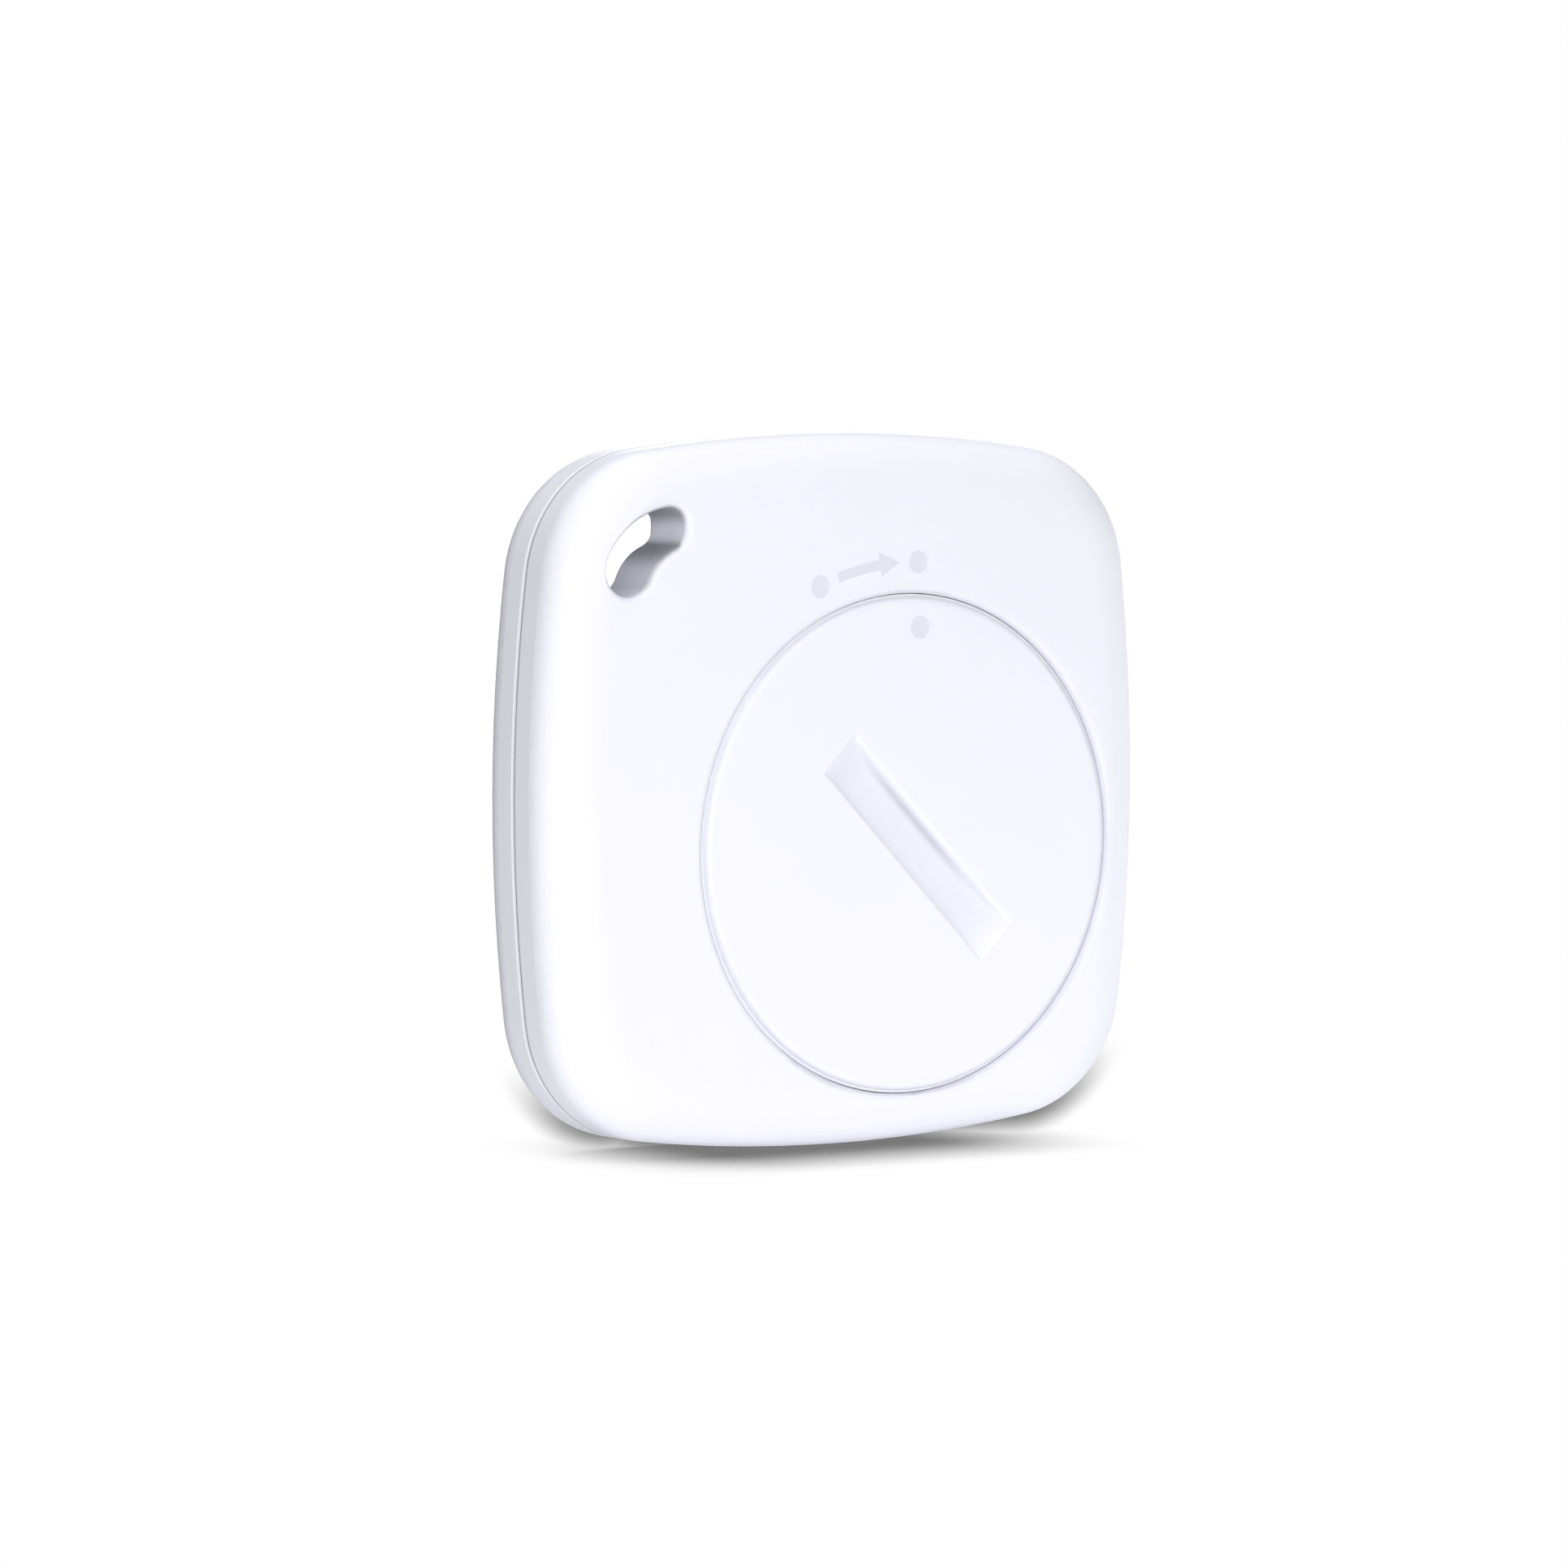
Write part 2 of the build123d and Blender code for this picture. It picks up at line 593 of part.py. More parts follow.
def slot_cutter():
    """Coin slot: leaning walls with rounded rims over a flat floor that rises in an arc at each end."""
    foot = SLOT_WIDTH / 2 - SLOT_WALL_LEAN
    half = SLOT_WIDTH / 2
    flare = half + SLOT_RIM_ROUND
    knee = SLOT_RIM_ROUND * (1 - sqrt(0.5))
    left_arc = ThreePointArc((-flare, 0), (-half - knee, -knee), (-half, -SLOT_RIM_ROUND))
    right_arc = ThreePointArc((half, -SLOT_RIM_ROUND), (half + knee, -knee), (flare, 0))
    floor = -SLOT_DEPTH
    section = make_face([
        left_arc,
        Polyline((-half, -SLOT_RIM_ROUND), (-foot, floor), (foot, floor), (half, -SLOT_RIM_ROUND)),
        right_arc,
        Polyline((flare, 0), (flare, WELD), (-flare, WELD), (-flare, 0)),
    ])
    prism = extrude(Plane.YZ * section, amount=SLOT_LENGTH, both=True)
    end = SLOT_LENGTH / 2
    flat = end - SLOT_END_RAMP
    radius = (SLOT_END_RAMP**2 + SLOT_DEPTH**2) / (2 * SLOT_DEPTH)
    half_rise = asin(SLOT_END_RAMP / radius) / 2
    arc_reach = flat + radius * sin(half_rise)
    arc_depth = floor + radius * (1 - cos(half_rise))
    side = make_face([
        ThreePointArc((-end, 0), (-arc_reach, arc_depth), (-flat, floor)),
        Line((-flat, floor), (flat, floor)),
        ThreePointArc((flat, floor), (arc_reach, arc_depth), (end, 0)),
        Polyline((end, 0), (end, WELD), (-end, WELD), (-end, 0)),
    ])
    sled = extrude(Plane.XZ * side, amount=2 * flare, both=True)
    return Pos(SLOT_ACROSS, SLOT_UP) * Rot(0, 0, SLOT_TILT) * (prism & sled)


def battery_cover():
    """Round cover with a coin slot, a skirt with lugs, ribs over the cell and a seal groove."""
    cover = disc(COVER_RADIUS, 0, COVER_THICKNESS)
    cover = fillet(edges_at(cover, 0), LIP_ROUND)
    cover += ring(SKIRT_RADIUS - SKIRT_WALL, SKIRT_RADIUS, COVER_THICKNESS - WELD, LUG_END)
    for angle in lug_angles():
        lug = sector(SKIRT_RADIUS - SKIRT_WALL / 2, LUG_RADIUS, angle, LUG_ARC)
        cover += slab(lug, LUG_START, LUG_END)
    rib = Pos(COVER_RIB_START + COVER_RIB_LENGTH / 2, 0) * Rectangle(COVER_RIB_LENGTH, COVER_RIB_WIDTH)
    for index in range(COVER_RIB_COUNT):
        turn = Rot(0, 0, 360 / COVER_RIB_COUNT * index)
        cover += turn * slab(rib, COVER_THICKNESS - WELD, CELL_START - COVER_RIB_GAP)
    groove_start = COVER_THICKNESS - SEAL_GROOVE_DEPTH
    groove_inner = SEAL_INNER - SEAL_CLEARANCE
    groove_outer = SEAL_OUTER + SEAL_CLEARANCE
    cover -= ring(groove_inner, groove_outer, groove_start, COVER_THICKNESS)
    cover -= slot_cutter()
    dot = Pos(*polar(COVER_RADIUS - COVER_DOT_EDGE, COVER_DOT_ANGLE)) * Circle(MARK_DOT_RADIUS)
    cover -= slab(dot, 0, MARK_DEPTH)
    return Pos(*COVER_PLACE) * cover


def cover_seal():
    """Rubber ring in the groove under the cover's edge."""
    start = COVER_THICKNESS - SEAL_GROOVE_DEPTH + SEAL_CLEARANCE
    return Pos(*COVER_PLACE) * ring(SEAL_INNER, SEAL_OUTER, start, start + SEAL_SECTION)


def coin_cell_can():
    """Can of the cell, closed on the cover side and crimped round the cap on the other."""
    can_end = CELL_END - CELL_CAP_STAND
    can = disc(CELL_RADIUS, CELL_START, can_end)
    can = chamfer(edges_at(can, CELL_START), CELL_EDGE_BEVEL)
    can = chamfer(edges_at(can, can_end), CELL_EDGE_BEVEL)
    recess = CELL_CAP_RADIUS + CELL_GASKET_WALL + 2 * CELL_FIT
    return Pos(*COVER_PLACE) * (can - disc(recess, CELL_END - CELL_CAP_DEPTH, can_end))


def coin_cell_gasket():
    """Insulating ring between the can and the cap."""
    inner = CELL_CAP_RADIUS + CELL_FIT
    end = CELL_END - CELL_CAP_STAND + CELL_GASKET_STAND
    return Pos(*COVER_PLACE) * ring(inner, inner + CELL_GASKET_WALL, CELL_END - CELL_CAP_DEPTH, end)


def coin_cell_cap():
    """Negative cap of the cell, towards the board."""
    cap = disc(CELL_CAP_RADIUS, CELL_END - CELL_CAP_DEPTH, CELL_END)
    return Pos(*COVER_PLACE) * chamfer(edges_at(cap, CELL_END), CELL_CAP_BEVEL)


def battery_cradle():
    """Round wall on the board that centres the cell, open where the two contacts stand."""
    inner = CELL_RADIUS + CRADLE_CLEARANCE
    outer = inner + CRADLE_WALL
    start = BOARD_REAR - CRADLE_HEIGHT
    cradle = ring(inner, outer, start, BOARD_REAR)
    width = CONTACT_WIDTH + 2 * CRADLE_SLOT_CLEARANCE
    for angle in (CONTACT_SIDE_ANGLE, CONTACT_TOP_ANGLE):
        gap = Rot(0, 0, angle) * Pos(outer, 0) * Rectangle(CELL_RADIUS, width)
        cradle -= slab(gap, start, BOARD_REAR)
    return Pos(*COVER_PLACE) * cradle


def positive_contact(angle):
    """Sprung leaf that presses on the side of the cell, with its foot on the board."""
    middle = CONTACT_RADIUS + CONTACT_SHEET / 2
    foot = BOARD_REAR - CONTACT_SHEET / 2
    top = BOARD_REAR - CONTACT_LEAF_HEIGHT
    strip = ribbon([
        (middle + CONTACT_LEAD_REACH, top),
        (middle, top + CONTACT_LEAD_HEIGHT),
        (middle, foot),
        (middle + CONTACT_FOOT_REACH, foot),
    ], CONTACT_SHEET, CONTACT_WIDTH)
    return Pos(*COVER_PLACE) * Rot(0, 0, angle) * strip


def negative_contact():
    """Hub on the board with sprung fingers that reach up to the cap of the cell."""
    foot = BOARD_REAR - FINGER_SHEET / 2
    tip = CELL_END + FINGER_GAP + FINGER_SHEET / 2
    contact = disc(FINGER_HUB_RADIUS, BOARD_REAR - FINGER_SHEET, BOARD_REAR)
    finger = ribbon([
        (FINGER_HUB_RADIUS / 2, foot),
        (FINGER_HUB_RADIUS, foot),
        (FINGER_REACH - FINGER_TIP_LENGTH, tip),
        (FINGER_REACH, tip),
    ], FINGER_SHEET, FINGER_WIDTH)
    for index in range(FINGER_COUNT):
        contact += Rot(0, 0, 360 / FINGER_COUNT * index) * finger
    return Pos(*COVER_PLACE) * contact


def circuit_board():
    """Board in the shape of the body, cut off at the key ring hole, with holes for the stakes."""
    board = slab(body_outline(BOARD_INSET), BOARD_REAR, BOARD_FRONT)
    mouth_inner = CORNER_RADIUS - MOUTH_RIM - MOUTH_WIDTH
    cut_up = mouth_inner - BOARD_MOUTH_GAP + BODY_WIDTH / 2
    cut = hole_frame() * Pos(0, cut_up) * Rectangle(2 * BODY_WIDTH, BODY_WIDTH)
    board -= slab(cut, BOARD_REAR, BOARD_FRONT)
    return board - stakes(STAKE_PIN_RADIUS + STAKE_CLEARANCE, BOARD_REAR, BOARD_FRONT)


def bluetooth_chip():
    """Radio chip beside the cell, with a small index cut at one corner."""
    chip = block(CHIP_SIZE, CHIP_PLACE, BOARD_REAR, -1)
    corner = chip.edges().filter_by(Axis.Z).sort_by(Axis.X)[:2].sort_by(Axis.Y)[-1]
    return chamfer(corner, CHIP_INDEX)


def crystal(size, edge):
    """Metal can of a crystal with rounded corners, placed from the left and lower edges."""
    place = (edge[0] - BODY_WIDTH / 2, edge[1] - BODY_HEIGHT / 2)
    can = block(size, place, BOARD_REAR, -1)
    return fillet(can.edges().filter_by(Axis.Z), CRYSTAL_ROUND)


def chip_antenna():
    """Ceramic antenna near the upper edge, with a step down to its end terminals."""
    across, up, height = ANTENNA_SIZE
    place = (ANTENNA_ACROSS, BODY_HEIGHT / 2 - ANTENNA_EDGE)
    antenna = block(ANTENNA_SIZE, place, BOARD_REAR, -1)
    for side in (1, -1):
        middle = (place[0] + side * (across - ANTENNA_TERMINAL) / 2, place[1])
        terminal = block((ANTENNA_TERMINAL, up, PAD_THICKNESS), middle, BOARD_REAR - height, 1)
        antenna -= terminal
    return antenna


def boost_inductor():
    """Drum inductor: a foot and a head with a thinner winding between them."""
    across, up, height = INDUCTOR_SIZE
    place = (BODY_WIDTH / 2 - INDUCTOR_EDGE[0], BODY_HEIGHT / 2 - INDUCTOR_EDGE[1])
    foot = block((across, up, INDUCTOR_FLANGE), place, BOARD_REAR, -1)
    head = block((across, up, INDUCTOR_FLANGE), place, BOARD_REAR - height, 1)
    waist = (across - 2 * INDUCTOR_WAIST, up - 2 * INDUCTOR_WAIST, height)
    return foot + head + block(waist, place, BOARD_REAR, -1)


def driver_transistor():
    """Small moulded transistor with three leads bent down to the board."""
    across, up, height = TRANSISTOR_SIZE
    place = (BODY_WIDTH / 2 - TRANSISTOR_EDGE[0], BODY_HEIGHT / 2 - TRANSISTOR_EDGE[1])
    transistor = block((across, up, height), place, BOARD_REAR, -1)
    reach = up / 2 + LEAD_REACH
    for shift, side in ((-LEAD_PITCH, -1), (LEAD_PITCH, -1), (0, 1)):
        middle = (place[0] + shift, place[1] + side * reach / 2)
        transistor += block((LEAD_WIDTH, reach, LEAD_SHEET), middle, BOARD_REAR, -1)
    return transistor


def small_row(size, count, first, board_face):
    """Row of equal small board parts, each a solid of its own."""
    row = Part()
    for index in range(count):
        row += block(size, (first[0] + index * SMALL_PITCH, first[1]), board_face, -1)
    return row


def capacitors():
    """Row of capacitors in the lower left corner of the board."""
    first = (CAPACITOR_EDGE[0] - BODY_WIDTH / 2, CAPACITOR_EDGE[1] - BODY_HEIGHT / 2)
    return small_row(CAPACITOR_SIZE, CAPACITOR_COUNT, first, BOARD_REAR)


def resistors():
    """Row of resistors in the upper right corner of the board."""
    first = (BODY_WIDTH / 2 - RESISTOR_EDGE[0], BODY_HEIGHT / 2 - RESISTOR_EDGE[1])
    return small_row(RESISTOR_SIZE, RESISTOR_COUNT, first, BOARD_REAR)


def test_pads():
    """Row of round gold pads near the upper edge of the board."""
    pads = Part()
    for index in range(PAD_COUNT):
        place = (PAD_ACROSS + index * PAD_PITCH, BODY_HEIGHT / 2 - PAD_EDGE)
        pads += Pos(*place) * disc(PAD_RADIUS, BOARD_REAR - PAD_THICKNESS, BOARD_REAR)
    return pads


def plunger_tip():
    """Depth of the switch plunger's tip."""
    return BOARD_FRONT + SWITCH_HEIGHT + BUTTON_TRAVEL + PLUNGER_STOP


def switch_body():
    """Square body of the switch with a round well for its plunger."""
    size = (SWITCH_WIDTH, SWITCH_WIDTH, SWITCH_HEIGHT)
    body = block(size, (0, 0), BOARD_FRONT, 1)
    body = chamfer(body.edges().filter_by(Axis.Z), SWITCH_CORNER)
    return body - disc(PLUNGER_RADIUS + PLUNGER_CLEARANCE, BOARD_FRONT, BOARD_FRONT + SWITCH_HEIGHT)


def switch_plunger():
    """Plunger that moves with the button."""
    return disc(PLUNGER_RADIUS, BOARD_FRONT + SWITCH_HEIGHT - PLUNGER_SINK, plunger_tip())


def front_button():
    """Round button with a dished face, a flange behind the wall and a boss over the switch."""
    face = BODY_THICKNESS - BUTTON_RECESS
    flange_end = FRONT_INNER - FLANGE_GAP
    flange_start = flange_end - FLANGE_THICKNESS
    button = disc(BUTTON_RADIUS, flange_start, face)
    button = fillet(edges_at(button, face), BUTTON_EDGE_ROUND)
    button += disc(BUTTON_RADIUS + FLANGE_WIDTH, flange_start, flange_end)
    pocket = SWITCH_WIDTH / sqrt(2) + BUTTON_POCKET_CLEARANCE
    boss = disc(BUTTON_BOSS_RADIUS, plunger_tip() + PLUNGER_GAP, face - BUTTON_ROOF / 2)
    button -= disc(pocket, flange_start, face - BUTTON_ROOF)
    dish_half = BUTTON_RADIUS - 2 * BUTTON_EDGE_ROUND
    dish_radius = (dish_half**2 + BUTTON_DISH_DEPTH**2) / (2 * BUTTON_DISH_DEPTH)
    dish = Pos(0, 0, -face - dish_radius + BUTTON_DISH_DEPTH) * Sphere(dish_radius)
    return button + boss - dish


def status_led():
    """Status light on the front side of the board, with a bevelled lens."""
    led = block(LED_SIZE, (0, LED_UP), BOARD_FRONT, 1)
    return chamfer(edges_at(led, BOARD_FRONT + LED_SIZE[2], (0, LED_UP)), LED_LENS_BEVEL)


def light_pipe():
    """Clear pipe through the front wall, with a flange on the inside."""
    pipe = disc(PIPE_RADIUS, FRONT_INNER - PIPE_FLANGE_THICKNESS, BODY_THICKNESS - PIPE_RECESS)
    flange_radius = PIPE_RADIUS + PIPE_FLANGE_WIDTH
    pipe += disc(flange_radius, FRONT_INNER - PIPE_FLANGE_THICKNESS, FRONT_INNER)
    return Pos(0, LED_UP) * pipe


def plate_depth():
    """Depth of the sounder plate's face towards the board."""
    return FRONT_INNER - PIEZO_ADHESIVE_THICKNESS - PIEZO_PLATE_THICKNESS


def piezo_plate():
    """Brass plate of the sounder."""
    return Pos(*PIEZO_PLACE) * disc(
        PIEZO_PLATE_RADIUS, plate_depth(), plate_depth() + PIEZO_PLATE_THICKNESS
    )


def piezo_ceramic():
    """Ceramic disc of the sounder, on the board side of its plate."""
    start = plate_depth() - PIEZO_CERAMIC_THICKNESS
    return Pos(*PIEZO_PLACE) * disc(PIEZO_CERAMIC_RADIUS, start, plate_depth())


def piezo_adhesive():
    """Ring of adhesive between the sounder plate and the front wall."""
    inner = PIEZO_PLATE_RADIUS - PIEZO_ADHESIVE_WIDTH
    start = FRONT_INNER - PIEZO_ADHESIVE_THICKNESS
    return Pos(*PIEZO_PLACE) * ring(inner, PIEZO_PLATE_RADIUS, start, FRONT_INNER)


def piezo_contact(tip_depth):
    """Leaf spring from the board to one face of the sounder."""
    foot = BOARD_FRONT + SPRING_SHEET / 2
    tip = tip_depth - SPRING_GAP - SPRING_SHEET / 2
    return ribbon([
        (-SPRING_BASE, foot),
        (0, foot),
        (SPRING_RISE, tip),
        (SPRING_RISE + SPRING_TIP, tip),
    ], SPRING_SHEET, SPRING_WIDTH)


def piezo_contact_inner():
    """Spring that touches the ceramic disc."""
    spring = piezo_contact(plate_depth() - PIEZO_CERAMIC_THICKNESS)
    return Pos(*PIEZO_PLACE) * Pos(0, SPRING_INNER_UP) * spring


def piezo_contact_outer():
    """Spring that touches the brass plate beside the ceramic disc."""
    spring = piezo_contact(plate_depth())
    outward = Pos(-SPRING_OUTER_REACH, 0) * Rot(0, 0, 90) * Pos(-SPRING_RISE - SPRING_TIP / 2, 0)
    return Pos(*PIEZO_PLACE) * outward * spring


def stand_up(shape):
    """Turn a piece from its layout, face up, to standing on the lower edge of the body."""
    return Pos(0, -BODY_THICKNESS / 2, BODY_HEIGHT / 2) * Rot(90, 0, 0) * shape


NODES = {
    "rear_shell": rear_shell,
    "front_shell": front_shell,
    "battery_cover": battery_cover,
    "cover_seal": cover_seal,
    "coin_cell_can": coin_cell_can,
    "coin_cell_gasket": coin_cell_gasket,
    "coin_cell_cap": coin_cell_cap,
    "battery_cradle": battery_cradle,
    "positive_contact_side": lambda: positive_contact(CONTACT_SIDE_ANGLE),
    "positive_contact_top": lambda: positive_contact(CONTACT_TOP_ANGLE),
    "negative_contact": negative_contact,
    "circuit_board": circuit_board,
    "bluetooth_chip": bluetooth_chip,
    "main_crystal": lambda: crystal(MAIN_CRYSTAL_SIZE, MAIN_CRYSTAL_EDGE),
    "clock_crystal": lambda: crystal(CLOCK_CRYSTAL_SIZE, CLOCK_CRYSTAL_EDGE),
    "chip_antenna": chip_antenna,
    "boost_inductor": boost_inductor,
    "driver_transistor": driver_transistor,
    "capacitors": capacitors,
    "resistors": resistors,
    "test_pads": test_pads,
    "switch_body": switch_body,
    "switch_plunger": switch_plunger,
    "front_button": front_button,
    "status_led": status_led,
    "light_pipe": light_pipe,
    "piezo_plate": piezo_plate,
    "piezo_ceramic": piezo_ceramic,
    "piezo_adhesive": piezo_adhesive,
    "piezo_contact_inner": piezo_contact_inner,
    "piezo_contact_outer": piezo_contact_outer,
}

os.makedirs("parts", exist_ok=True)
for name, build_node in NODES.items():
    export_step(stand_up(build_node()), f"parts/{name}.step")
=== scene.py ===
import json
import math

import bpy
from mathutils import Euler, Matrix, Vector


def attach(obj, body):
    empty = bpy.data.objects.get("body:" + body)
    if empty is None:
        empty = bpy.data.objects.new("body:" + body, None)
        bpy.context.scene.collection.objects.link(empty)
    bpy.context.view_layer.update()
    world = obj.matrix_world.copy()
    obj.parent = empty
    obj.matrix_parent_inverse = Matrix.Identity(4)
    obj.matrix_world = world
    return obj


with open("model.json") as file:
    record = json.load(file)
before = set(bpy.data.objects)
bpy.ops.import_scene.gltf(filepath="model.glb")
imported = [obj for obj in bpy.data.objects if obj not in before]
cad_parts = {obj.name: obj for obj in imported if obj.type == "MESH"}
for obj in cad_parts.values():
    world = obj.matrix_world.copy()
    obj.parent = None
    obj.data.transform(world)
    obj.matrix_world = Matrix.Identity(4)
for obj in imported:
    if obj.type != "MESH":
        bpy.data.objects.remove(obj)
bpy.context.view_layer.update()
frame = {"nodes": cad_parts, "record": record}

MM = 0.001

# Camera fitted to the outline of the tag, its cover and its parting line in the photograph
LENS = 177.65
SENSOR = 36.0
CAMERA_PLACE = (-253.98 * MM, -352.98 * MM, 47.42 * MM)
CAMERA_TURN = (86.417, -0.2086, -35.4509)

# Colours of the white plastics
SHELL_WHITE = (0.86, 0.86, 0.935)
BUTTON_WHITE = (0.84, 0.84, 0.90)

# Places on the tag: points are (x, z), depths count from the rear face, and pairs are soft steps
REAR_FACE = -3.7 * MM
COVER_MIDDLE = (3.5 * MM, 16.9 * MM)
COVER_EDGE = 13.9 * MM
OPENING_EDGE = 14.1 * MM
LIP_WIDTH = 0.55 * MM
LIP_DROP = 0.13 * MM
LIP_DEPTH = (0.6 * MM, 0.8 * MM)
SLOT_MIDDLE = (4.15 * MM, 16.65 * MM)
SLOT_REACH = (9.3 * MM, 10.3 * MM)
SLOT_DEPTH = (0.0, 0.6 * MM)
SLOT_SHADE_DEPTH = (0.2 * MM, 0.75 * MM)
SLOT_SHADE_SIDE = (0.8 * MM, 1.2 * MM)
SLOT_SHADE_ENDS = (1.5 * MM, 6.4 * MM)
SLOT_SHADE_SHIFT = 0.8 * MM
COVER_DOT = (4.19 * MM, 29.08 * MM)
COVER_DOT_EDGE = (0.9 * MM, 1.0 * MM)
MARK_START = (14.8 * MM, 14.9 * MM)
MARK_END = (16.9 * MM, 17.0 * MM)
MARK_FLOOR = (28.0 * MM, 28.5 * MM)
MARK_DEPTH = (0.03 * MM, 0.07 * MM)
MARK_BACK = (0.3 * MM, 0.5 * MM)
HOLE_MIDDLE = (-14.38 * MM, 33.76 * MM)
HOLE_TILT = math.radians(45)
HOLE_REACH = (3.45 * MM, 1.95 * MM)
HOLE_EDGE = (0.88, 1.0)
HOLE_DEPTH = (0.0, 0.3 * MM)
HOLE_TOP = (-0.6 * MM, 1.0 * MM)
PARTING_EDGE = ((3.66 * MM, 3.84 * MM), (3.92 * MM, 3.98 * MM))
PARTING_RIM = ((3.92 * MM, 3.98 * MM), (4.02 * MM, 4.20 * MM))

# Levels of the darkened places beside the plain plastic, and the grain of both
MARK_LEVEL = 0.88
SLOT_LEVEL = 0.95
# The levels from here on are painted shade: the foot of the slot's wall, the hole and both edges of the
# parting line
SLOT_SHADE_LEVEL = 0.78
HOLE_SHADE_LEVEL = 0.70
HOLE_TOP_SHADE_LEVEL = 0.56
PARTING_SHADE_LEVEL = 0.38
PARTING_RIM_SHADE_LEVEL = 0.92
GRAIN_HEIGHT = 0.0012 * MM
RECESS_GRAIN = 0.14 * MM
RECESS_HEIGHT = 6.0

# Shoulder of the cover in the gap round it
SHOULDER_START = 0.38 * MM
SHOULDER_HEIGHT = 0.72 * MM
SHOULDER_WALL = 0.2 * MM
SHOULDER_RADIUS = 14.05 * MM


class Value:
    """Output of a shader node; arithmetic on it adds Math nodes to the same finish."""

    def __init__(self, finish, socket):
        self.finish = finish
        self.socket = socket

    def math(self, operation, *values):
        places = dict(enumerate(values))
        return self.finish.node("ShaderNodeMath", {"operation": operation}, places)

    def __add__(self, other):
        return self.math("ADD", self, other)

    def __radd__(self, other):
        return self.math("ADD", other, self)

    def __sub__(self, other):
        return self.math("SUBTRACT", self, other)

    def __rsub__(self, other):
        return self.math("SUBTRACT", other, self)

    def __mul__(self, other):
        return self.math("MULTIPLY", self, other)

    def __truediv__(self, other):
        return self.math("DIVIDE", self, other)


class Finish:
    """Node tree of one material or of the world."""

    def __init__(self, owner):
        owner.use_nodes = True
        self.owner = owner
        self.tree = owner.node_tree
        self.tree.nodes.clear()

    def node(self, kind, settings=None, values=None, output=0):
        """Add a node: its settings first, then the values or links of its sockets."""
        made = self.tree.nodes.new(kind)
        for name, value in (settings or {}).items():
            setattr(made, name, value)
        for name, value in (values or {}).items():
            if isinstance(value, Value):
                self.tree.links.new(value.socket, made.inputs[name])
            else:
                made.inputs[name].default_value = value
        return Value(self, made.outputs[output])

    def place(self):
        """Point on the piece, in metres of the model's own frame."""
        return self.node("ShaderNodeTexCoord", output="Object")

    def axis(self, index):
        """The place along X, Y or Z, in metres."""
        return self.node("ShaderNodeSeparateXYZ", None, {0: self.place()}, output=index)

    def depth(self):
        """Depth below the tag's rear face, in metres."""
        return self.axis(1) - REAR_FACE

    def step(self, value, start, end):
        """0 before a start and 1 after an end, with a soft rise between them."""
        return self.node("ShaderNodeMapRange", {"interpolation_type": "SMOOTHSTEP"}, {
            "Value": value, "From Min": start, "From Max": end,
        })

    def band(self, value, rise, fall):
        """1 between two soft steps, 0 before and after them."""
        return self.step(value, *rise) * (1.0 - self.step(value, *fall))

    def noise(self, size, detail=2.0, roughness=0.5, stretch=(1.0, 1.0, 1.0)):
        """Cloudy value from 0 to 1 whose blotches have one size in metres."""
        point = self.node(
            "ShaderNodeMapping", {"vector_type": "POINT"}, {"Vector": self.place(), "Scale": stretch}
        )
        return self.node("ShaderNodeTexNoise", {"noise_dimensions": "3D"}, {
            "Vector": point, "Scale": 1.0 / size, "Detail": detail, "Roughness": roughness,
        }, output="Fac")

    def length(self, first, second):
        """Length of the longest side of a right triangle."""
        return first.math("SQRT", first * first + second * second)

    def tint(self, colour, level):
        """Colour scaled by a level."""
        return self.node("ShaderNodeVectorMath", {"operation": "SCALE"}, {0: colour, "Scale": level})

    def blend(self, amount, first, second):
        """Colour between two colours."""
        return self.node("ShaderNodeMix", {"data_type": "RGBA"}, {
            0: amount, 6: first, 7: second,
        }, output=2)

    def bump(self, height, distance):
        """Normal of a surface raised by a value times a distance in metres."""
        return self.node("ShaderNodeBump", None, {"Height": height, "Distance": distance, "Strength": 1.0})

    def surface(self, shader):
        """Close a material with its shader."""
        self.node_output("ShaderNodeOutputMaterial", shader)
        return self.owner

    def node_output(self, kind, shader):
        """Add an output node behind a shader."""
        end = self.tree.nodes.new(kind)
        self.tree.links.new(shader.socket, end.inputs["Surface"])


def new_finish(name):
    """Empty material of one name."""
    return Finish(bpy.data.materials.new(name))


def rgba(colour, level=1.0):
    """Colour with full cover, scaled by a level."""
    return (colour[0] * level, colour[1] * level, colour[2] * level, 1.0)


def from_cover_middle(finish):
    """Distance from the axis of the cover."""
    return finish.length(finish.axis(0) - COVER_MIDDLE[0], finish.axis(2) - COVER_MIDDLE[1])


def along_and_square(finish, middle, tilt):
    """Place beside a point, along a direction tilted up from X and square to it."""
    across, up = finish.axis(0) - middle[0], finish.axis(2) - middle[1]
    cos, sin = math.cos(tilt), math.sin(tilt)
    return across * cos + up * sin, up * cos - across * sin


def cover_slot(finish):
    """1 on the floor of the coin slot, fading to 0 up its walls and ends."""
    inside = 1.0 - finish.step(from_cover_middle(finish), *SLOT_REACH)
    return finish.step(finish.depth(), *SLOT_DEPTH) * inside


def slot_shade(finish):
    """1 at the foot of the slot's wall that faces down to the left, 0 elsewhere."""
    along, square = along_and_square(finish, SLOT_MIDDLE, math.radians(-45))
    along = along + SLOT_SHADE_SHIFT
    deep = finish.step(finish.depth(), *SLOT_SHADE_DEPTH)
    middle = 1.0 - finish.step(along.math("ABSOLUTE", along), *SLOT_SHADE_ENDS)
    return deep * middle * finish.step(square, *SLOT_SHADE_SIDE) * cover_slot(finish)


